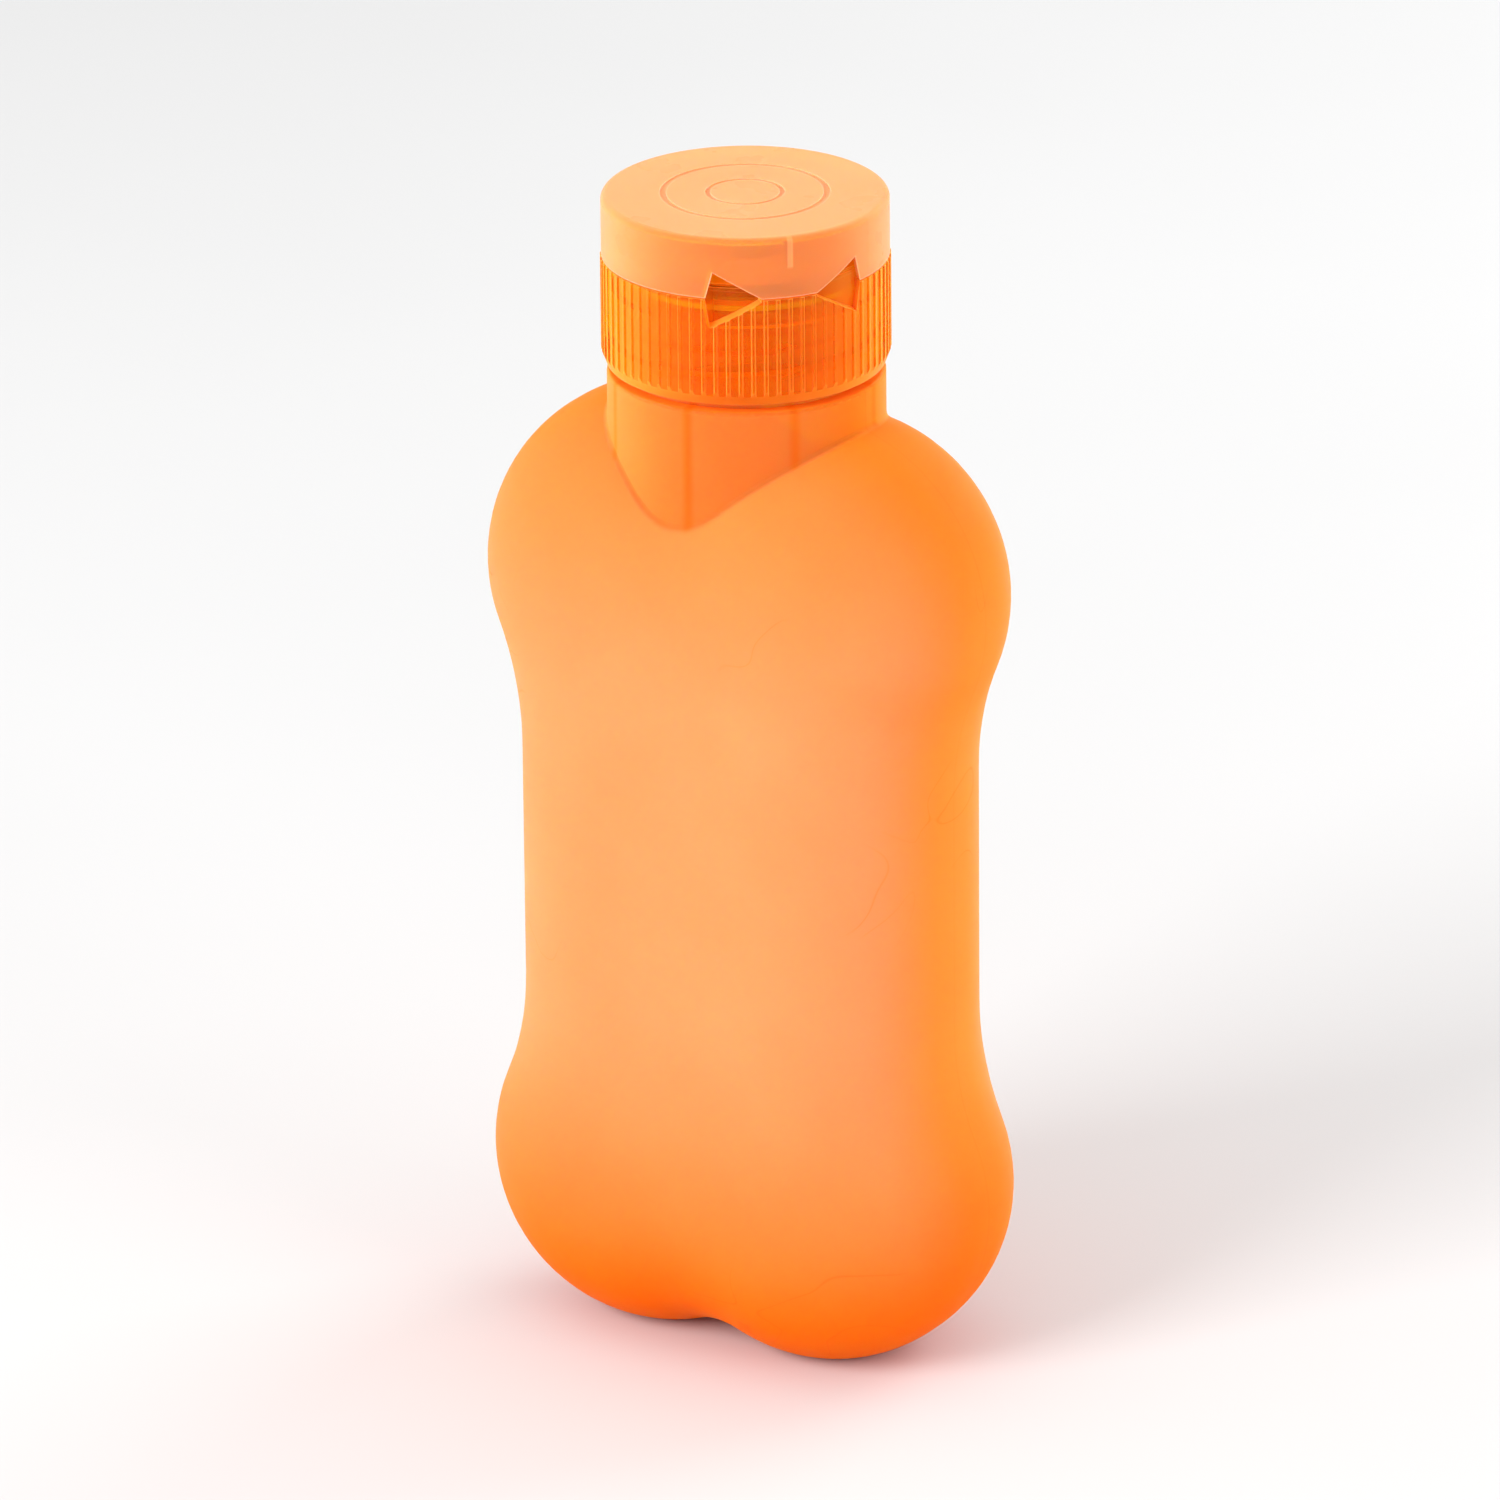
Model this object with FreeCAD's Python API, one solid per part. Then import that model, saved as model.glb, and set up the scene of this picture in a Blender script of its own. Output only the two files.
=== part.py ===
import FreeCAD, Part
import math
import os

# Sports squeeze bottle with a bone-shaped body and a screw-on flip-top cap.
# Millimetres. +Z up, +X across the wide face, -Y the front face. The origin is on the
# surface that the bottle stands on, below the middle of the body.

# ---- body: a bone outline in the XZ plane, given thickness along Y and large round edges
WALL = 1.2
WAIST_HALF = 34.0             # half width between the straight sides
HALF_THICK = 23.2
EDGE_ROUND = 22.6             # rounding of the front and back edges
# each end of the outline: lobe centre (x, height from the middle), lobe radius,
# radius of the hollow beside the waist, radius of the valley between the lobes
TOP_END = (12.8, 44.8, 26.6, 44.0, 14.0)
LOW_END = (13.6, 45.4, 26.1, 42.0, 12.0)
FOOT_CUT = 1.2                # depth of the two flat feet cut into the lower lobes
BODY_MID_Z = LOW_END[1] + LOW_END[2] - FOOT_CUT      # middle of the straight sides

# ---- collar and neck
COLLAR_R = 19.74
COLLAR_TOP_Z = 146.8
COLLAR_ROUND = 0.5
COLLAR_ROOT_Z = 112.0         # the collar cylinder starts inside the body
CREASE_ROUND = 1.0
STIFFENER_COUNT = 8           # upright ribs inside the collar
STIFFENER = (1.4, 0.8)        # wide, deep
STIFFENER_LOW_Z = 126.0
STIFFENER_PHASE = 7.0         # degrees from -Y towards +X
NECK_ROOT_R = 17.65
NECK_BORE_R = 16.2
RIM_Z = 161.2
RIM_ROUND = 0.4

# ---- screw thread, one start, shared by neck and cap
PITCH = 4.233
NECK_CREST_R = 18.75
NECK_RIDGE = (2.2, 1.0)       # width at the root and at the crest
NECK_THREAD_Z = 150.9
NECK_TURNS = 1.5
CAP_CREST_R = 18.05
CAP_RIDGE = (1.6, 0.7)
CAP_THREAD_Z = 149.2
CAP_TURNS = 1.6
OVERLAP = 0.3                 # how far a piece sinks into what it is fused to or cut from

# ---- cap base
NOTCH_ANGLE = 50.0            # direction of the thumb notch, from -Y towards +X
RIB_R = 20.5
SKIRT_R = 20.25
SKIRT_LOW_Z = 148.1
SKIRT_TOP_Z = 163.7
SKIRT_CHAMFER = (0.75, 2.0)   # inwards, upwards
RIB_COUNT = 72
RIB_SHARE = 0.2               # share of one pitch that the rib crest takes
BORE_R = 19.05
UPPER_BORE_R = 17.95
BORE_STEP_Z = 159.2
DECK_LOW_Z = 162.2
DECK_R = 18.7
DECK_TOP_Z = 165.6
RECESS_R = 15.8
RECESS_TOP_Z = 164.3
SPOUT_R = 7.6
SPOUT_BORE_R = 5.2
SPOUT_TOP_Z = 168.9
BEAD_R = 18.86
BEAD_Z = (164.5, 165.1)
COLLET_R = (9.75, 10.9)       # wall that holds the valve ring
COLLET_LOW_Z = 160.9

# ---- flip lid
LID_R = 20.35
LID_BORE_R = 19.15
LID_LOW_Z = 163.95
LID_TOP_Z = 172.8
LID_PLATE = 1.2
LID_ROUND = 0.9
PLUG_R = (4.0, 4.8)
PLUG_LOW_Z = 167.9
EMBLEM_RINGS = [(11.1, 12.0), (4.9, 5.6)]
EMBLEM_DEPTH = 0.25
STOP_RIB = (1.2, 1.0, 3.6)    # rib inside the lid wall: wide, deep, tall

# ---- thumb notch: half of a bow tie, as (degrees from the middle, height from the parting)
NOTCH_TOP = [(11.6, 0.0), (31.0, 3.8), (34.0, 0.0)]
NOTCH_LOW = [(34.0, 0.0), (32.0, -4.2), (11.6, -0.3)]

# ---- hinge, opposite the notch: two films and a spring strap on flat pads
PIVOT_Z = 163.82
PAD_FACE = 20.7
PAD_HALF_W = 9.6
PAD_HEIGHT = 4.4
PAD_SLOPE = 2.4
PAD_ROOT = 15.5
FILM_THICK = 0.3
FILM_CENTRE = 6.6
FILM_W = 4.6
FILM_HALF_H = 1.3
STRAP_W = 4.4
STRAP_HALF_H = 3.3
STRAP_POCKET = 0.5            # depth behind the strap, and clearance on each side of it
STRAP_FOOT = 0.9              # length of the strap that is welded to each pad

# ---- liner, valve and valve ring
LINER_R = (16.3, 17.6)
LINER_Z = (161.25, 162.15)
VALVE_FLANGE_R = 8.3
VALVE_FLANGE_Z = (163.1, 164.25)
VALVE_HEAD_R = 4.9
VALVE_HEAD_TOP_Z = 164.9
VALVE_DISH_R = 7.0
VALVE_DISH_DEPTH = 0.75
SLIT = (6.0, 0.12)
RING_R = (5.6, 9.7)
RING_Z = (161.7, 163.05)

V = FreeCAD.Vector
UP = V(0, 0, 1)
FAR = 60.0                    # beyond every surface
TOUCH = 1e-3                  # closer than this is the same place


def cylinder(radius, low, high):
    """Solid cylinder on the Z axis between two heights."""
    return Part.makeCylinder(radius, high - low, V(0, 0, low))


def tube(inner, outer, low, high):
    """Ring on the Z axis between two radii and two heights."""
    return cylinder(outer, low, high).cut(cylinder(inner, low - 1, high + 1))


def block(x, y, z):
    """Box from three (low, high) pairs."""
    corner = V(x[0], y[0], z[0])
    return Part.makeBox(x[1] - x[0], y[1] - y[0], z[1] - z[0], corner)


def circle_at(solid, height):
    """The full circle of a cylinder that lies at this height, in a list for makeFillet."""
    return [e for e in solid.Edges if e.Closed and abs(e.CenterOfMass.z - height) < TOUCH][:1]


def to_notch(shape):
    """Turn a shape drawn with the notch along +X so that it faces the notch direction."""
    turned = shape.copy()
    turned.rotate(V(0, 0, 0), UP, NOTCH_ANGLE - 90.0)
    return turned


# ------------------------------------------------------------------ bottle body

def xz_arc(centre, radius, start, stop):
    """Arc in the XZ plane between two angles in radians."""
    def point(angle):
        x = centre[0] + radius * math.cos(angle)
        return V(x, 0, BODY_MID_Z + centre[1] + radius * math.sin(angle))
    return Part.Arc(point(start), point((start + stop) / 2), point(stop)).toShape()


def end_arcs(end, side, inset):
    """Five tangent arcs of one end of the outline. side is 1 for the top, -1 below."""
    lobe_x, lobe_z, lobe_r, hollow_r, valley_r = end
    lobe_r = lobe_r - inset
    hollow_x = WAIST_HALF + hollow_r
    hollow_r = hollow_r + inset
    valley_r = valley_r + inset
    drop = math.sqrt((lobe_r + hollow_r) ** 2 - (hollow_x - lobe_x) ** 2)
    rise = math.sqrt((lobe_r + valley_r) ** 2 - lobe_x ** 2)
    to_hollow = math.atan2(-drop, hollow_x - lobe_x)
    to_valley = math.atan2(rise, -lobe_x)
    arcs = []
    for hand in (1, -1):
        def place(x, z):
            return (hand * x, side * z)

        def turn(angle):
            angle = angle if hand > 0 else math.pi - angle
            return side * angle
        arcs.append(xz_arc(place(hollow_x, lobe_z - drop), hollow_r,
                           turn(math.pi), turn(math.pi + to_hollow)))
        arcs.append(xz_arc(place(lobe_x, lobe_z), lobe_r, turn(to_hollow), turn(to_valley)))
    start = to_valley - math.pi
    arcs.append(xz_arc((0, side * (lobe_z + rise)), valley_r,
                       side * start, side * (-math.pi - start)))
    return arcs, lobe_z - drop


def bone_block(inset):
    """Bone-shaped solid, every surface moved inwards by inset."""
    upper, upper_z = end_arcs(TOP_END, 1, inset)
    lower, lower_z = end_arcs(LOW_END, -1, inset)
    half = WAIST_HALF - inset
    sides = []
    for x in (half, -half):
        low = V(x, 0, BODY_MID_Z - lower_z)
        high = V(x, 0, BODY_MID_Z + upper_z)
        sides.append(Part.LineSegment(low, high).toShape())
    outline = Part.Wire(Part.sortEdges(upper + lower + sides)[0])
    thick = HALF_THICK - inset
    face = Part.Face(outline)
    face.translate(V(0, -thick, 0))
    solid = face.extrude(V(0, 2 * thick, 0))
    rims = [e for e in solid.Edges if abs(abs(e.CenterOfMass.y) - thick) < TOUCH]
    return solid.makeFillet(EDGE_ROUND - inset, rims)


def thread_ridge(root_r, crest_r, widths, low_z, turns):
    """Helical ridge of trapezium section between a wall radius and a crest radius."""
    outwards = 1 if crest_r > root_r else -1
    foot_r = root_r - outwards * OVERLAP
    half_root = widths[0] / 2
    half_crest = widths[1] / 2
    corners = [V(foot_r, 0, -half_root), V(crest_r, 0, -half_crest),
               V(crest_r, 0, half_crest), V(foot_r, 0, half_root)]
    section = Part.makePolygon(corners + corners[:1])
    path = Part.Wire(Part.makeHelix(PITCH, PITCH * turns, root_r).Edges)
    ridge = path.makePipeShell([section], True, True)
    ridge = Part.Solid(Part.Shell(ridge.Faces))
    ridge.translate(V(0, 0, low_z))
    return ridge


def neck():
    """Threaded neck finish with a rounded rim."""
    barrel = cylinder(NECK_ROOT_R, COLLAR_TOP_Z - 1, RIM_Z)
    barrel = barrel.makeFillet(RIM_ROUND, circle_at(barrel, RIM_Z))
    return barrel.fuse(thread_ridge(NECK_ROOT_R, NECK_CREST_R, NECK_RIDGE,
                                    NECK_THREAD_Z, NECK_TURNS))


def stiffeners():
    """Upright ribs on the inside of the collar wall."""
    wide, deep = STIFFENER
    inner_r = COLLAR_R - WALL - deep
    ribs = []
    for index in range(STIFFENER_COUNT):
        rib = block((-wide / 2, wide / 2), (-COLLAR_R + WALL / 2, -inner_r),
                    (STIFFENER_LOW_Z, COLLAR_TOP_Z - WALL / 2))
        rib.rotate(V(0, 0, 0), UP, STIFFENER_PHASE + 360.0 * index / STIFFENER_COUNT)
        ribs.append(rib)
    return Part.makeCompound(ribs)


def crease_edges(shape):
    """Edges where the collar cylinder runs into the shoulders of the body."""
    found = []
    for edge in shape.Edges:
        middle = edge.valueAt((edge.FirstParameter + edge.LastParameter) / 2)
        on_collar = abs(math.hypot(middle.x, middle.y) - COLLAR_R) < TOUCH
        upright = len(edge.Vertexes) == 2 and abs(edge.Vertexes[0].Z - edge.Vertexes[1].Z) > COLLAR_R
        if on_collar and middle.z < COLLAR_TOP_Z - 3 * COLLAR_ROUND and not upright:
            found.append(edge)
    return found


def bottle_body():
    """One blow-moulded shell: bone body, collar, threaded neck."""
    outer = bone_block(0)
    inner = bone_block(WALL)
    collar = cylinder(COLLAR_R, COLLAR_ROOT_Z, COLLAR_TOP_Z)
    collar = collar.makeFillet(COLLAR_ROUND, circle_at(collar, COLLAR_TOP_Z))
    collar_bore = cylinder(COLLAR_R - WALL, BODY_MID_Z, COLLAR_TOP_Z - WALL)
    shell = outer.fuse(collar)
    shell = shell.makeFillet(CREASE_ROUND, crease_edges(shell))
    shell = shell.fuse(neck())
    collar_bore = collar_bore.cut(stiffeners())
    hollow = inner.fuse([collar_bore, cylinder(NECK_BORE_R, BODY_MID_Z, RIM_Z + 1)])
    below = block((-FAR, FAR), (-FAR, FAR), (-FAR, WALL))
    shell = shell.cut(hollow.cut(below))
    return shell.cut(block((-FAR, FAR), (-FAR, FAR), (-FAR, 0)))


# ------------------------------------------------------------------ cap

def ribbed_prism():
    """Skirt blank: an upright prism with fine narrow ribs all round."""
    step = 2 * math.pi / RIB_COUNT
    crest = step * RIB_SHARE / 2
    foot = step * RIB_SHARE
    edges = []

    def point(radius, angle):
        return V(radius * math.cos(angle), radius * math.sin(angle), SKIRT_LOW_Z)
    for index in range(RIB_COUNT):
        a = index * step
        foot_in, crest_in = point(SKIRT_R, a - foot), point(RIB_R, a - crest)
        crest_out, foot_out = point(RIB_R, a + crest), point(SKIRT_R, a + foot)
        edges.append(Part.LineSegment(foot_in, crest_in).toShape())
        edges.append(Part.Arc(crest_in, point(RIB_R, a), crest_out).toShape())
        edges.append(Part.LineSegment(crest_out, foot_out).toShape())
        edges.append(Part.Arc(foot_out, point(SKIRT_R, a + step / 2),
                              point(SKIRT_R, a + step - foot)).toShape())
    outline = Part.Wire(Part.sortEdges(edges)[0])
    return Part.Face(outline).extrude(V(0, 0, SKIRT_TOP_Z - SKIRT_LOW_Z))


def chamfer_cutter():
    """Ring that bevels the lower edge of the ribbed skirt."""
    inwards, upwards = SKIRT_CHAMFER
    corners = [V(RIB_R - inwards, 0, SKIRT_LOW_Z), V(RIB_R, 0, SKIRT_LOW_Z + upwards),
               V(RIB_R + 1, 0, SKIRT_LOW_Z + upwards), V(RIB_R + 1, 0, SKIRT_LOW_Z - 1),
               V(RIB_R - inwards, 0, SKIRT_LOW_Z - 1)]
    face = Part.Face(Part.makePolygon(corners + corners[:1]))
    return face.revolve(V(0, 0, 0), UP, 360)


def notch_cutter(profile, parting_z, lap):
    """Pair of mirrored prisms along the notch direction, outside the deck wall."""
    prisms = []
    for hand in (1, -1):
        points = [V(0, hand * LID_R * math.sin(math.radians(angle)), parting_z + height)
                  for angle, height in profile]
        first, last = points[0], points[-1]
        points = [V(0, first.y, first.z + lap)] + points + [V(0, last.y, last.z + lap)]
        face = Part.Face(Part.makePolygon(points + points[:1]))
        prisms.append(face.extrude(V(FAR, 0, 0)))
    pair = prisms[0].fuse(prisms[1])
    return to_notch(pair.cut(cylinder(DECK_R, SKIRT_LOW_Z, LID_TOP_Z)))


def hinge_pad(side):
    """Flat pad for the hinge on the cap base (side -1) or on the lid (side 1)."""
    edge_z = SKIRT_TOP_Z if side < 0 else LID_LOW_Z
    far_z = edge_z + side * PAD_HEIGHT
    corners = [V(-PAD_ROOT, 0, edge_z), V(-PAD_FACE, 0, edge_z),
               V(-PAD_FACE, 0, far_z - side * PAD_SLOPE), V(-PAD_ROOT, 0, far_z + side * PAD_SLOPE)]
    face = Part.Face(Part.makePolygon(corners + corners[:1]))
    face.translate(V(0, -PAD_HALF_W, 0))
    pad = face.extrude(V(0, 2 * PAD_HALF_W, 0))
    half_wide = STRAP_W / 2 + STRAP_POCKET
    z = sorted((edge_z - side, PIVOT_Z + side * (STRAP_HALF_H - STRAP_FOOT)))
    pocket = block((-FAR, -PAD_FACE + STRAP_POCKET), (-half_wide, half_wide), z)
    return to_notch(pad.cut(pocket))


def cap_base():
    """Threaded skirt, deck, spout and the lower hinge pad, moulded in one."""
    body = ribbed_prism().cut(chamfer_cutter())
    body = body.fuse([cylinder(DECK_R, DECK_LOW_Z, DECK_TOP_Z), hinge_pad(-1)])
    body = body.fuse([tube(DECK_R - 1, BEAD_R, *BEAD_Z),
                      cylinder(SPOUT_R, DECK_LOW_Z, SPOUT_TOP_Z)])
    body = body.cut([cylinder(BORE_R, SKIRT_LOW_Z - 1, BORE_STEP_Z),
                     cylinder(UPPER_BORE_R, BORE_STEP_Z - 1, DECK_LOW_Z),
                     cylinder(RECESS_R, DECK_LOW_Z - 1, RECESS_TOP_Z)])
    body = body.fuse(tube(COLLET_R[0], COLLET_R[1], COLLET_LOW_Z, RECESS_TOP_Z + OVERLAP))
    body = body.cut([cylinder(SPOUT_BORE_R, RECESS_TOP_Z - 1, SPOUT_TOP_Z + 1),
                     notch_cutter(NOTCH_LOW, SKIRT_TOP_Z, 1.0)])
    return body.fuse(thread_ridge(BORE_R, CAP_CREST_R, CAP_RIDGE, CAP_THREAD_Z, CAP_TURNS))


def flip_lid():
    """Lid: rounded disc with a wall, a plug ring, a stop rib and the upper hinge pad."""
    lid = cylinder(LID_R, LID_LOW_Z, LID_TOP_Z)
    lid = lid.makeFillet(LID_ROUND, circle_at(lid, LID_TOP_Z))
    lid = lid.fuse(hinge_pad(1))
    plate_low = LID_TOP_Z - LID_PLATE
    lid = lid.cut(cylinder(LID_BORE_R, LID_LOW_Z - 1, plate_low))
    wide, deep, tall = STOP_RIB
    rib = block((LID_BORE_R - deep, LID_BORE_R + OVERLAP), (-wide / 2, wide / 2),
                (plate_low - tall, plate_low + OVERLAP))
    lid = lid.fuse([to_notch(rib), tube(PLUG_R[0], PLUG_R[1], PLUG_LOW_Z, plate_low + OVERLAP)])
    emblem_low = LID_TOP_Z - EMBLEM_DEPTH
    rings = [tube(inner, outer, emblem_low, LID_TOP_Z + 1) for inner, outer in EMBLEM_RINGS]
    return lid.cut(rings + [notch_cutter(NOTCH_TOP, LID_LOW_Z, -1.0)])


def hinge_plate(centre, width, half_height):
    """Thin upright plate against the pad faces, across the parting."""
    plate = block((-PAD_FACE - FILM_THICK, -PAD_FACE), (centre - width / 2, centre + width / 2),
                  (PIVOT_Z - half_height, PIVOT_Z + half_height))
    return to_notch(plate)


# ------------------------------------------------------------------ inner pieces

def valve():
    """Silicone valve: clamped flange, dished head, crossed slits."""
    head = cylinder(VALVE_HEAD_R, VALVE_FLANGE_Z[0], VALVE_HEAD_TOP_Z)
    body = cylinder(VALVE_FLANGE_R, *VALVE_FLANGE_Z).fuse(head)
    upper = V(0, 0, VALVE_HEAD_TOP_Z + VALVE_DISH_R - VALVE_DISH_DEPTH)
    lower = V(0, 0, VALVE_FLANGE_Z[0] - VALVE_DISH_R + VALVE_DISH_DEPTH / 2)
    body = body.cut([Part.makeSphere(VALVE_DISH_R, upper), Part.makeSphere(VALVE_DISH_R, lower)])
    long_half, thin_half = SLIT[0] / 2, SLIT[1] / 2
    z = (VALVE_FLANGE_Z[0] - 1, VALVE_HEAD_TOP_Z + 1)
    slits = [block((-long_half, long_half), (-thin_half, thin_half), z),
             block((-thin_half, thin_half), (-long_half, long_half), z)]
    return to_notch(body.cut(slits))


def parts():
    """Every node of the assembly, by name."""
    return {
        "bottle_body": bottle_body(),
        "cap_base": cap_base(),
        "flip_lid": flip_lid(),
        "hinge_film_left": hinge_plate(-FILM_CENTRE, FILM_W, FILM_HALF_H),
        "hinge_film_right": hinge_plate(FILM_CENTRE, FILM_W, FILM_HALF_H),
        "hinge_spring_strap": hinge_plate(0.0, STRAP_W, STRAP_HALF_H),
        "neck_liner": tube(LINER_R[0], LINER_R[1], *LINER_Z),
        "squeeze_valve": valve(),
        "valve_ring": tube(RING_R[0], RING_R[1], *RING_Z),
    }


os.makedirs("parts", exist_ok=True)
for name, shape in parts().items():
    box = shape.BoundBox
    print(name, "valid", shape.isValid(), "solids", len(shape.Solids), "volume", round(shape.Volume),
          "x", round(box.XMin, 2), round(box.XMax, 2), "y", round(box.YMin, 2), round(box.YMax, 2),
          "z", round(box.ZMin, 2), round(box.ZMax, 2))
    shape.exportStep("parts/" + name + ".step")
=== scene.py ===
import bpy
import bmesh
import math
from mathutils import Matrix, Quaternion, Vector


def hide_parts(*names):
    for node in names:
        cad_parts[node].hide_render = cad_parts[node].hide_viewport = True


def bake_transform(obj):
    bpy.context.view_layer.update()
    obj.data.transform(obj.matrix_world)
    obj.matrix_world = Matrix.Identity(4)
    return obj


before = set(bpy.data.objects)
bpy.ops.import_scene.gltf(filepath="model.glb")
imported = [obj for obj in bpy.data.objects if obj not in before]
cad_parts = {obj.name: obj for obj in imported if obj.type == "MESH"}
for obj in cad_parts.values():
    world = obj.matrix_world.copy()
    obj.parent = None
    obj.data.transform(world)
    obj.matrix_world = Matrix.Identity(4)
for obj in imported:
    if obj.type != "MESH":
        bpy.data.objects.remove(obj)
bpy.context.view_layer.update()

# Sports squeeze bottle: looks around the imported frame. Metres, +Z up, -Y the front face.

MM = 0.001
VIEW_YAW = math.radians(32.2)      # camera direction, from -Y towards +X
VIEW_HEIGHT = math.radians(22.2)
VIEW_DISTANCE = 1.963
VIEW_ROLL = math.radians(0.52)
AIM_ABOVE = math.radians(0.49)     # the camera aims this much above the middle of the body
AIM_POINT = Vector((0, 0, 0.0703))
LENS_MM = 329.0


# ------------------------------------------------------------------ node helpers

def new_material(name):
    """Material with a fresh Principled shader; returns the material, its tree and the shader."""
    material = bpy.data.materials.new(name)
    material.use_nodes = True
    tree = material.node_tree
    tree.nodes.clear()
    shader = tree.nodes.new("ShaderNodeBsdfPrincipled")
    output = tree.nodes.new("ShaderNodeOutputMaterial")
    tree.links.new(shader.outputs["BSDF"], output.inputs["Surface"])
    return material, tree, shader


def plug(tree, socket, value):
    """Link a socket or set a number."""
    if isinstance(value, bpy.types.NodeSocket):
        tree.links.new(value, socket)
    else:
        socket.default_value = value


def maths(tree, operation, first, second=0.0):
    """Math node over sockets or numbers."""
    node = tree.nodes.new("ShaderNodeMath")
    node.operation = operation
    plug(tree, node.inputs[0], first)
    plug(tree, node.inputs[1], second)
    return node.outputs["Value"]


def place(tree):
    """Object-space position, split into x, y and z."""
    coords = tree.nodes.new("ShaderNodeTexCoord")
    split = tree.nodes.new("ShaderNodeSeparateXYZ")
    tree.links.new(coords.outputs["Object"], split.inputs["Vector"])
    return split.outputs["X"], split.outputs["Y"], split.outputs["Z"]


def facing(tree):
    """Object-space normal, split into x, y and z."""
    coords = tree.nodes.new("ShaderNodeTexCoord")
    split = tree.nodes.new("ShaderNodeSeparateXYZ")
    tree.links.new(coords.outputs["Normal"], split.inputs["Vector"])
    return split.outputs["X"], split.outputs["Y"], split.outputs["Z"]


def noise(tree, scale, detail=3.0, roughness=0.5, distortion=0.0):
    """Noise in object coordinates; returns its factor socket."""
    coords = tree.nodes.new("ShaderNodeTexCoord")
    texture = tree.nodes.new("ShaderNodeTexNoise")
    texture.inputs["Scale"].default_value = scale
    texture.inputs["Detail"].default_value = detail
    texture.inputs["Roughness"].default_value = roughness
    texture.inputs["Distortion"].default_value = distortion
    tree.links.new(coords.outputs["Object"], texture.inputs["Vector"])
    return texture.outputs["Fac"]


def ramp(tree, factor, stops):
    """Colour ramp over a factor; stops are (position, colour)."""
    node = tree.nodes.new("ShaderNodeValToRGB")
    elements = node.color_ramp.elements
    while len(elements) < len(stops):
        elements.new(0.5)
    for element, (position, colour) in zip(elements, stops):
        element.position = position
        element.color = (*colour, 1.0)
    tree.links.new(factor, node.inputs["Fac"])
    return node.outputs["Color"]


def spread(tree, factor, low, high, to_low=0.0, to_high=1.0):
    """Clamped, smooth map of a factor from one range to another."""
    node = tree.nodes.new("ShaderNodeMapRange")
    node.interpolation_type = "SMOOTHSTEP"
    node.inputs["From Min"].default_value = low
    node.inputs["From Max"].default_value = high
    node.inputs["To Min"].default_value = to_low
    node.inputs["To Max"].default_value = to_high
    tree.links.new(factor, node.inputs["Value"])
    return node.outputs["Result"]


def bump(tree, height, strength, distance, normal=None):
    """Bump node; chains onto an earlier normal."""
    node = tree.nodes.new("ShaderNodeBump")
    node.inputs["Strength"].default_value = strength
    node.inputs["Distance"].default_value = distance
    tree.links.new(height, node.inputs["Height"])
    if normal is not None:
        tree.links.new(normal, node.inputs["Normal"])
    return node.outputs["Normal"]


# ------------------------------------------------------------------ plastics

# shared numbers of the plastics
PLASTIC_IOR = 1.49
GLASS_BLEND = 0.5
GLANCING = 0.8                 # Facing value at which the see-through share has fallen off
BEVEL_SAMPLES = 4
EDGE_RANGE = (0.80, 0.99)      # cosine of the bevelled turn: a sharp edge, a flat face
NOISE_RANGE = (0.3, 0.7)
SHEEN_SCALE = 140.0
GRAIN_SCALE = 1800.0
GRAIN_DEPTH = 0.08 * MM
WAVE_SCALE = 60.0
WAVE_DEPTH = 0.6 * MM

# how far red, green and blue light travel inside each plastic
ORANGE_SCATTER = (3.0 * MM, 1.2 * MM, 0.4 * MM)
LID_SCATTER = (3.0 * MM, 1.5 * MM, 0.6 * MM)
PALE_SCATTER = (3.0 * MM, 2.0 * MM, 1.5 * MM)

def tinted(tree, colour, factor, tint):
    """Colour multiplied by a tint where the factor is 1 and left alone where it is 0."""
    node = tree.nodes.new("ShaderNodeMix")
    node.data_type = "RGBA"
    node.blend_type = "MULTIPLY"
    plug(tree, node.inputs["Factor"], factor)
    tree.links.new(colour, node.inputs["A"])
    node.inputs["B"].default_value = (*tint, 1.0)
    return node.outputs["Result"]


def sharp_edges(tree, radius):
    """1 along sharp edges and 0 on the faces: the mask of a painted highlight, where a clear plastic
    gathers light.
    """
    rounded = tree.nodes.new("ShaderNodeBevel")
    rounded.samples = BEVEL_SAMPLES
    rounded.inputs["Radius"].default_value = radius
    flat = tree.nodes.new("ShaderNodeNewGeometry")
    dot = tree.nodes.new("ShaderNodeVectorMath")
    dot.operation = "DOT_PRODUCT"
    tree.links.new(rounded.outputs["Normal"], dot.inputs[0])
    tree.links.new(flat.outputs["True Normal"], dot.inputs[1])
    return spread(tree, dot.outputs["Value"], *EDGE_RANGE, 1.0, 0.0)


def blended(tree, factor, colour, other):
    """Mix from a colour socket to a fixed colour."""
    node = tree.nodes.new("ShaderNodeMix")
    node.data_type = "RGBA"
    tree.links.new(factor, node.inputs["Factor"])
    tree.links.new(colour, node.inputs["A"])
    node.inputs["B"].default_value = (*other, 1.0)
    return node.outputs["Result"]


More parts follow.
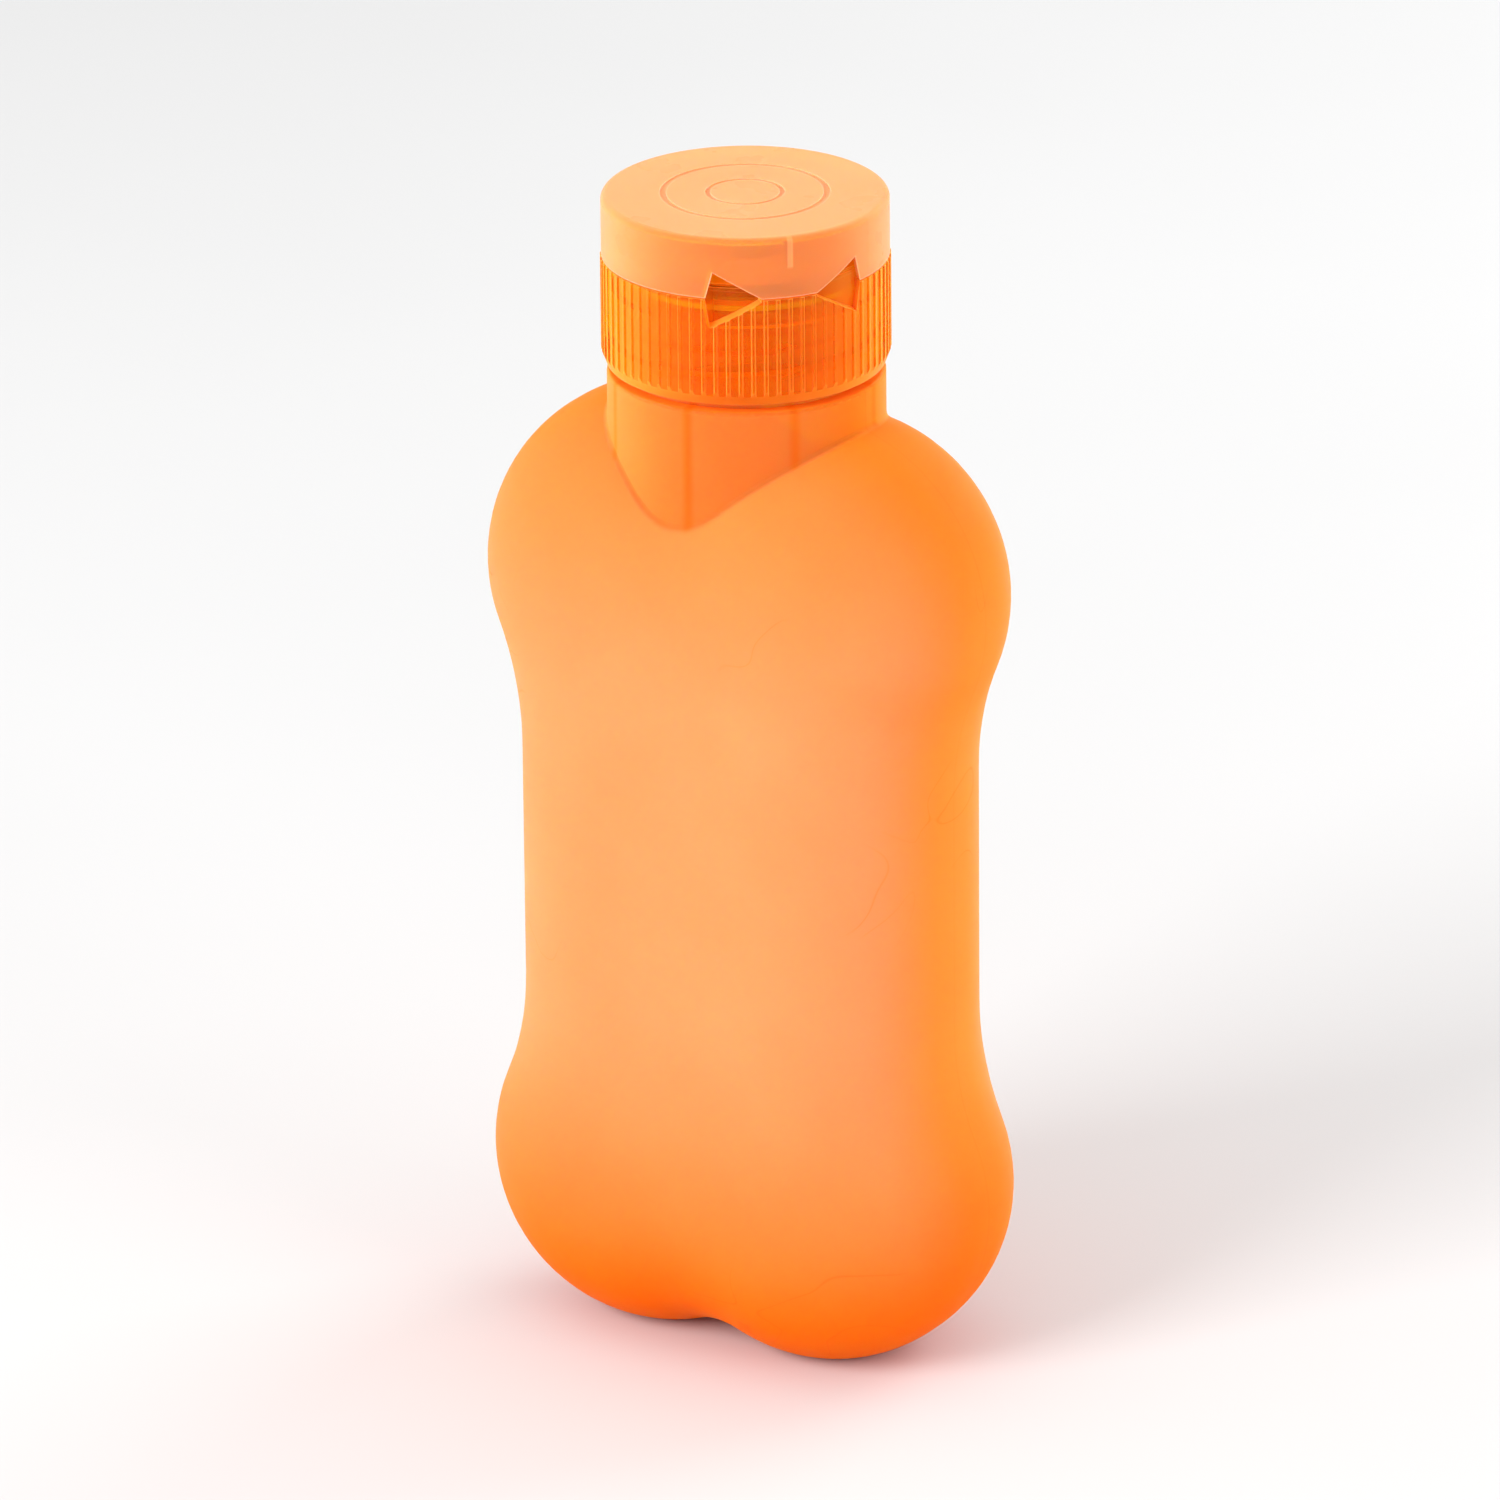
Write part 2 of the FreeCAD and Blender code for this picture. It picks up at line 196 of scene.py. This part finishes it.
def see_through(tree, shader, head_on, edge, tint, where):
    """Glass: lets `head_on` of the light straight through, falling to `edge` at a glancing angle."""
    output = next(n for n in tree.nodes if n.type == "OUTPUT_MATERIAL")
    angle = tree.nodes.new("ShaderNodeLayerWeight")
    angle.inputs["Blend"].default_value = GLASS_BLEND
    clear = tree.nodes.new("ShaderNodeBsdfTransparent")
    clear.inputs["Color"].default_value = (*tint, 1.0)
    mix = tree.nodes.new("ShaderNodeMixShader")
    share = spread(tree, angle.outputs["Facing"], 0.0, GLANCING, head_on, edge)
    tree.links.new(maths(tree, "MULTIPLY", share, where), mix.inputs["Fac"])
    tree.links.new(shader.outputs["BSDF"], mix.inputs[1])
    tree.links.new(clear.outputs["BSDF"], mix.inputs[2])
    tree.links.new(mix.outputs["Shader"], output.inputs["Surface"])


def finish(tree, shader, rough, specular, scatter, radius):
    """Uneven gloss, moulded grain and the numbers of the plastic."""
    sheen = spread(tree, noise(tree, SHEEN_SCALE), *NOISE_RANGE, rough - 0.04, rough + 0.05)
    tree.links.new(sheen, shader.inputs["Roughness"])
    grain = bump(tree, noise(tree, GRAIN_SCALE, 2.0), 0.12, GRAIN_DEPTH)
    waves = bump(tree, noise(tree, WAVE_SCALE, 2.0), 0.08, WAVE_DEPTH, grain)
    tree.links.new(waves, shader.inputs["Normal"])
    shader.inputs["Specular IOR Level"].default_value = specular
    shader.inputs["IOR"].default_value = PLASTIC_IOR
    shader.inputs["Subsurface Weight"].default_value = scatter
    shader.inputs["Subsurface Radius"].default_value = radius
    shader.inputs["Subsurface Scale"].default_value = 1.0


COLLAR_R = 19.74 * MM
COLLAR_LOW_Z = 126.0 * MM
COLLAR_SLACK = 0.1 * MM        # the zone is full to this far outside the collar
COLLAR_FADE = 0.7 * MM         # and gone from here outwards
COLLAR_RISE = 3 * MM           # height over which it comes in
BAR_SOFTNESS = 1.6
BAR_COUNT = 8                  # stiffening ribs inside the collar
BAR_PHASE = math.radians(7.0)
BAR_HALF = 0.8 * MM
SEAM_HALF = 0.25 * MM          # mould seam where the two halves of the bottle meet


def collar_zone(tree):
    """1 on the collar above the shoulders, 0 elsewhere; also its bars, 1 over a stiffening rib."""
    x, y, z = place(tree)
    across = maths(tree, "SQRT", maths(tree, "ADD", maths(tree, "MULTIPLY", x, x),
                                       maths(tree, "MULTIPLY", y, y)))
    inside = spread(tree, across, COLLAR_R + COLLAR_SLACK, COLLAR_R + COLLAR_FADE, 1.0, 0.0)
    above = spread(tree, z, COLLAR_LOW_Z, COLLAR_LOW_Z + COLLAR_RISE)
    zone = maths(tree, "MULTIPLY", inside, above)
    step = 2 * math.pi / BAR_COUNT
    angle = maths(tree, "ARCTAN2", x, maths(tree, "MULTIPLY", y, -1.0))
    turns = maths(tree, "DIVIDE", maths(tree, "SUBTRACT", angle, BAR_PHASE), step)
    off = maths(tree, "ABSOLUTE", maths(tree, "SUBTRACT", turns, maths(tree, "ROUND", turns)))
    bars = spread(tree, off, 0.0, BAR_SOFTNESS * BAR_HALF / (COLLAR_R * step), 1.0, 0.0)
    return zone, maths(tree, "MULTIPLY", zone, bars)


NOTCH_ANGLE = math.radians(50.0)     # direction of the thumb notch, from -Y towards +X
NOTCH = Vector((math.sin(NOTCH_ANGLE), -math.cos(NOTCH_ANGLE), 0))
ASIDE = Vector((math.cos(NOTCH_ANGLE), math.sin(NOTCH_ANGLE), 0))


def along(tree, direction):
    """Object-space distance along a level direction."""
    x, y, _ = place(tree)
    return maths(tree, "ADD", maths(tree, "MULTIPLY", x, direction.x),
                 maths(tree, "MULTIPLY", y, direction.y))


SCRATCH_SCALE = 42.0
SCRATCH_WIDTH = 0.006          # in units of the noise
SCRATCH_PATCH_SCALE = 30.0
SCRATCH_PATCH_RANGE = (0.56, 0.64)


def scuffs(tree):
    """Fine curved hair scratches: 1 on a scratch, 0 elsewhere."""
    field = noise(tree, SCRATCH_SCALE, 1.0, 0.4, 1.2)
    off = maths(tree, "ABSOLUTE", maths(tree, "SUBTRACT", field, 0.5))
    line = spread(tree, off, 0.0, SCRATCH_WIDTH, 1.0, 0.0)
    patch = spread(tree, noise(tree, SCRATCH_PATCH_SCALE, 2.0), *SCRATCH_PATCH_RANGE)
    return maths(tree, "MULTIPLY", line, patch)


def bottle_plastic():
    """Soft translucent plastic, pale on the wide faces, with painted shade: deeper round the edges,
    over the shoulders, on the collar and towards the bottom.
    """
    material, tree, shader = new_material("bottle_plastic")
    _, y, z = place(tree)
    _, ny, nz = facing(tree)
    mottle = noise(tree, 55.0, 4.0)
    colour = ramp(tree, mottle, [(0.3, (1.0, 0.252, 0.088)), (0.7, (1.0, 0.270, 0.098))])
    # painted shade: deeper orange on the narrow sides, where the faces turn away from the light
    side = spread(tree, maths(tree, "ABSOLUTE", ny), 0.1, 0.7, 1.0, 0.0)
    colour = tinted(tree, colour, side, (1.0, 0.90, 0.32))
    zone, bars = collar_zone(tree)
    below = maths(tree, "SUBTRACT", 1.0, zone)
    # painted shade: deeper orange over the shoulders, below the collar
    shoulder_painted_shade = maths(tree, "MULTIPLY", spread(tree, z, 0.100, 0.138), below)
    colour = tinted(tree, colour, shoulder_painted_shade, (1.0, 0.77, 0.42))
    seam = spread(tree, maths(tree, "ABSOLUTE", y), 0.0, SEAM_HALF, 0.25, 0.0)
    colour = tinted(tree, colour, seam, (1.0, 0.75, 0.4))
    colour = tinted(tree, colour, maths(tree, "MULTIPLY", scuffs(tree), 0.5), (1.0, 0.72, 0.3))
    # painted shade: deeper orange towards the bottom
    low = spread(tree, z, 0.006, 0.056, 1.0, 0.0)
    colour = tinted(tree, colour, low, (1.0, 0.58, 0.05))
    # painted shade on the faces that look down
    underside_painted_shade = spread(tree, nz, -0.9, 0.0, 1.0, 0.0)
    colour = tinted(tree, colour, underside_painted_shade, (1.0, 0.75, 0.15))
    # painted shade: the whole collar deeper orange, as if in the shadow of the cap above
    colour = tinted(tree, colour, zone, (1.0, 0.93, 0.50))
    colour = tinted(tree, colour, bars, (1.0, 0.80, 0.35))
    tree.links.new(colour, shader.inputs["Base Color"])
    finish(tree, shader, 0.5, 0.02, 0.8, ORANGE_SCATTER)
    see_through(tree, shader, 0.50, 0.0, (1.0, 0.95, 0.10), zone)
    return material


THREAD_PITCH = 4.233 * MM
THREAD_START_Z = 149.2 * MM    # the cap's inner thread starts here, on the +X side
THREAD_TURNS = 1.6
BAND_RANGE = (0.12, 0.34)      # shares of a pitch from the ridge: dark, clear
BAND_FADE = 1.5 * MM


def thread_bands(tree):
    """The cap's inner thread seen through the skirt: 1 over a turn of it, 0 between turns."""
    x, y, z = place(tree)
    turn = maths(tree, "MULTIPLY", maths(tree, "ARCTAN2", y, x), THREAD_PITCH / (2 * math.pi))
    raised = maths(tree, "SUBTRACT", maths(tree, "SUBTRACT", z, THREAD_START_Z), turn)
    phase = maths(tree, "DIVIDE", raised, THREAD_PITCH)
    off = maths(tree, "ABSOLUTE", maths(tree, "SUBTRACT", phase, maths(tree, "ROUND", phase)))
    band = spread(tree, off, *BAND_RANGE, 1.0, 0.0)
    top_z = THREAD_START_Z + THREAD_TURNS * THREAD_PITCH
    upper = spread(tree, z, top_z, top_z + BAND_FADE, 1.0, 0.0)
    lower = spread(tree, z, THREAD_START_Z - BAND_FADE, THREAD_START_Z)
    return maths(tree, "MULTIPLY", band, maths(tree, "MULTIPLY", upper, lower))


def cap_plastic():
    """Stiffer, deeper orange plastic of the screw cap."""
    material, tree, shader = new_material("cap_plastic")
    mottle = noise(tree, 70.0, 4.0)
    colour = ramp(tree, mottle, [(0.3, (1.0, 0.270, 0.026)), (0.7, (1.0, 0.290, 0.034))])
    # painted highlight: paler orange along sharp edges and the crests of the skirt ribs
    painted_edge_highlight = sharp_edges(tree, 0.18 * MM)
    colour = blended(tree, painted_edge_highlight, colour, (1.0, 0.32, 0.07))
    tree.links.new(colour, shader.inputs["Base Color"])
    finish(tree, shader, 0.3, 0.01, 0.8, ORANGE_SCATTER)
    face = spread(tree, painted_edge_highlight, 0.0, 1.0, 1.0, 0.85)
    face = maths(tree, "ADD", face, maths(tree, "MULTIPLY", thread_bands(tree), 0.05))
    see_through(tree, shader, 0.88, 0.0, (1.0, 0.78, 0.02), face)
    return material


# upright rib inside the lid over the notch, seen as a pale strip through the wall
RIB_LOW_Z = 168.0 * MM
RIB_HALF = 0.55 * MM
RIB_FADE = 0.6 * MM
RIB_REACH = (19.0 * MM, 20.5 * MM)   # out towards the lid's wall on the notch side


def lid_plastic():
    """Paler, frosted plastic of the lid."""
    material, tree, shader = new_material("lid_plastic")
    _, _, z = place(tree)
    mottle = noise(tree, 70.0, 4.0)
    colour = ramp(tree, mottle, [(0.3, (1.0, 0.350, 0.142)), (0.7, (1.0, 0.370, 0.155))])
    # painted highlight: paler orange along sharp edges, the lower rim and the notch
    painted_edge_highlight = sharp_edges(tree, 0.35 * MM)
    colour = blended(tree, painted_edge_highlight, colour, (1.0, 0.46, 0.26))
    beside = maths(tree, "ABSOLUTE", along(tree, ASIDE))
    rib = spread(tree, beside, 0.5 * RIB_HALF, RIB_HALF, 1.0, 0.0)
    rib = maths(tree, "MULTIPLY", rib, spread(tree, z, RIB_LOW_Z, RIB_LOW_Z + RIB_FADE))
    rib = maths(tree, "MULTIPLY", rib, spread(tree, along(tree, NOTCH), *RIB_REACH))
    colour = blended(tree, rib, colour, (1.0, 0.41, 0.17))
    tree.links.new(colour, shader.inputs["Base Color"])
    finish(tree, shader, 0.3, 0.03, 0.6, LID_SCATTER)
    face = spread(tree, painted_edge_highlight, 0.0, 1.0, 1.0, 0.1)
    face = maths(tree, "SUBTRACT", face, maths(tree, "MULTIPLY", rib, 0.35))
    see_through(tree, shader, 0.72, 0.04, (1.0, 0.90, 0.14), face)
    return material


def plain_plastic(name, dark, light, rough, scatter):
    """Pale plastic or rubber of the pieces inside."""
    material, tree, shader = new_material(name)
    mottle = noise(tree, 90.0, 4.0)
    tree.links.new(ramp(tree, mottle, [(0.3, dark), (0.7, light)]), shader.inputs["Base Color"])
    finish(tree, shader, rough, 0.3, scatter, PALE_SCATTER)
    return material


BOTTLE = bottle_plastic()
CAP = cap_plastic()
LID = lid_plastic()
LINER = plain_plastic("liner_foam", (0.80, 0.77, 0.72), (0.88, 0.86, 0.82), 0.75, 0.2)
SILICONE = plain_plastic("silicone", (0.78, 0.74, 0.68), (0.86, 0.83, 0.78), 0.45, 0.6)
RING = plain_plastic("ring_plastic", (0.84, 0.82, 0.78), (0.90, 0.89, 0.86), 0.4, 0.3)

NODE_MATERIALS = {
    "bottle_body": BOTTLE, "cap_base": CAP, "flip_lid": LID, "hinge_film_left": CAP,
    "hinge_film_right": CAP, "hinge_spring_strap": CAP, "neck_liner": LINER,
    "squeeze_valve": SILICONE, "valve_ring": RING,
}

for name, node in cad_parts.items():
    if not node.material_slots:
        node.data.materials.append(NODE_MATERIALS[name])
    for slot in node.material_slots:
        slot.link = "OBJECT"
        slot.material = NODE_MATERIALS[name]


# ------------------------------------------------------------------ hinge

PIVOT_Z = 163.82 * MM
PAD_FACE = 20.7 * MM           # flat pads of cap and lid that carry the hinge plates
PLATE_THICK = 0.3 * MM
PLATE_ROUND = 0.07 * MM
FILM_CENTRE = 6.6 * MM
FILM_W = 4.6 * MM
FILM_HALF_H = 1.3 * MM
STRAP_W = 4.4 * MM
STRAP_HALF_H = 3.3 * MM
FILM_WAIST = 0.3               # share by which a film is thinned along its middle
WAIST_SPREAD = 0.25
PLATE_ROWS = 40
PLATE_COLUMNS = 12


def hinge_plate(name, node, centre, width, half_height, waist):
    """Thin straight hinge plate between cap and lid, thinned by the share `waist` along its middle.
    """
    mesh = bpy.data.meshes.new(name)
    shape = bmesh.new()
    rings = []
    for row in range(PLATE_ROWS + 1):
        level = -1.0 + 2.0 * row / PLATE_ROWS
        inset = PLATE_ROUND if row in (0, PLATE_ROWS) else 0.0
        thin = PLATE_THICK * (1.0 - waist * math.exp(-(level / WAIST_SPREAD) ** 2)) - inset
        half = width / 2 - inset
        outline = []
        for column in range(PLATE_COLUMNS + 1):
            across = -1.0 + 2.0 * column / PLATE_COLUMNS
            depth = thin - (PLATE_ROUND if abs(across) == 1.0 else 0.0)
            outline.append((across * half, depth))
        outline += [(across, 0.0) for across, depth in reversed(outline)]
        z = PIVOT_Z + level * half_height
        ring = []
        for across, depth in outline:
            spot = ASIDE * (centre + across) - NOTCH * (PAD_FACE + depth)
            ring.append(shape.verts.new((spot.x, spot.y, z)))
        rings.append(ring)
    count = len(rings[0])
    for lower, upper in zip(rings, rings[1:]):
        for i in range(count):
            j = (i + 1) % count
            shape.faces.new((lower[i], lower[j], upper[j], upper[i]))
    shape.faces.new(list(reversed(rings[0])))
    shape.faces.new(rings[-1])
    bmesh.ops.recalc_face_normals(shape, faces=shape.faces)
    shape.to_mesh(mesh)
    shape.free()
    mesh.shade_smooth()
    mesh.materials.append(CAP)
    plate = bpy.data.objects.new(name, mesh)
    bpy.context.scene.collection.objects.link(plate)
    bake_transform(plate)
    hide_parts(node)


for side, centre in (("left", -FILM_CENTRE), ("right", FILM_CENTRE)):
    hinge_plate(f"film_{side}", f"hinge_film_{side}", centre, FILM_W, FILM_HALF_H,
                FILM_WAIST)
hinge_plate("spring_strap", "hinge_spring_strap", 0.0, STRAP_W, STRAP_HALF_H, 0.0)


# ------------------------------------------------------------------ stage

FLOOR_HALF = 6.0
WORLD_STRENGTH = 0.95
LIGHT_SIZE = 0.6
LIGHTS = {"key": ((-0.345, -1.095, 0.68), 15.0), "fill": ((1.10, -0.20, 0.40), 4.0),
          "back": ((0.3, 0.9, 0.5), 5.0)}


def floor():
    """Large pale floor."""
    material, tree, shader = new_material("floor_paint")
    tone = noise(tree, 3.0)
    tree.links.new(ramp(tree, tone, [(0.3, (0.61, 0.61, 0.61)), (0.7, (0.64, 0.64, 0.64))]),
                   shader.inputs["Base Color"])
    shader.inputs["Roughness"].default_value = 0.8
    shader.inputs["Specular IOR Level"].default_value = 0.1
    mesh = bpy.data.meshes.new("floor")
    corners = [(sx * FLOOR_HALF, sy * FLOOR_HALF, 0)
               for sx, sy in ((-1, -1), (1, -1), (1, 1), (-1, 1))]
    mesh.from_pydata(corners, [], [(0, 1, 2, 3)])
    mesh.materials.append(material)
    plane = bpy.data.objects.new("floor", mesh)
    bpy.context.scene.collection.objects.link(plane)


def area_light(name, where, power):
    """Square soft box aimed at the middle of the body."""
    data = bpy.data.lights.new(name, "AREA")
    data.shape = "SQUARE"
    data.size = LIGHT_SIZE
    data.energy = power
    lamp = bpy.data.objects.new(name, data)
    lamp.location = where
    lamp.rotation_mode = "QUATERNION"
    lamp.rotation_quaternion = (AIM_POINT - Vector(where)).to_track_quat("-Z", "Y")
    bpy.context.scene.collection.objects.link(lamp)


def studio():
    """White surroundings and three soft boxes."""
    world = bpy.data.worlds.new("studio")
    world.use_nodes = True
    world.node_tree.nodes["Background"].inputs["Color"].default_value = (1, 1, 1, 1)
    world.node_tree.nodes["Background"].inputs["Strength"].default_value = WORLD_STRENGTH
    bpy.context.scene.world = world
    for name, (where, power) in LIGHTS.items():
        area_light(name, where, power)


def camera():
    """Camera at the viewing angle, a long lens and no lens shift."""
    data = bpy.data.cameras.new("camera")
    data.lens = LENS_MM
    data.sensor_width = 36.0
    data.clip_end = 50.0
    eye = bpy.data.objects.new("camera", data)
    level = math.cos(VIEW_HEIGHT)
    out = Vector((math.sin(VIEW_YAW) * level, -math.cos(VIEW_YAW) * level, math.sin(VIEW_HEIGHT)))
    eye.location = AIM_POINT + out * VIEW_DISTANCE
    pitch = VIEW_HEIGHT - AIM_ABOVE
    look = Vector((-math.sin(VIEW_YAW) * math.cos(pitch), math.cos(VIEW_YAW) * math.cos(pitch),
                   -math.sin(pitch)))
    eye.rotation_mode = "QUATERNION"
    eye.rotation_quaternion = look.to_track_quat("-Z", "Y") @ Quaternion((0, 0, 1), -VIEW_ROLL)
    bpy.context.scene.collection.objects.link(eye)
    bpy.context.scene.camera = eye


floor()
studio()
camera()
bpy.context.scene.view_settings.view_transform = "Standard"
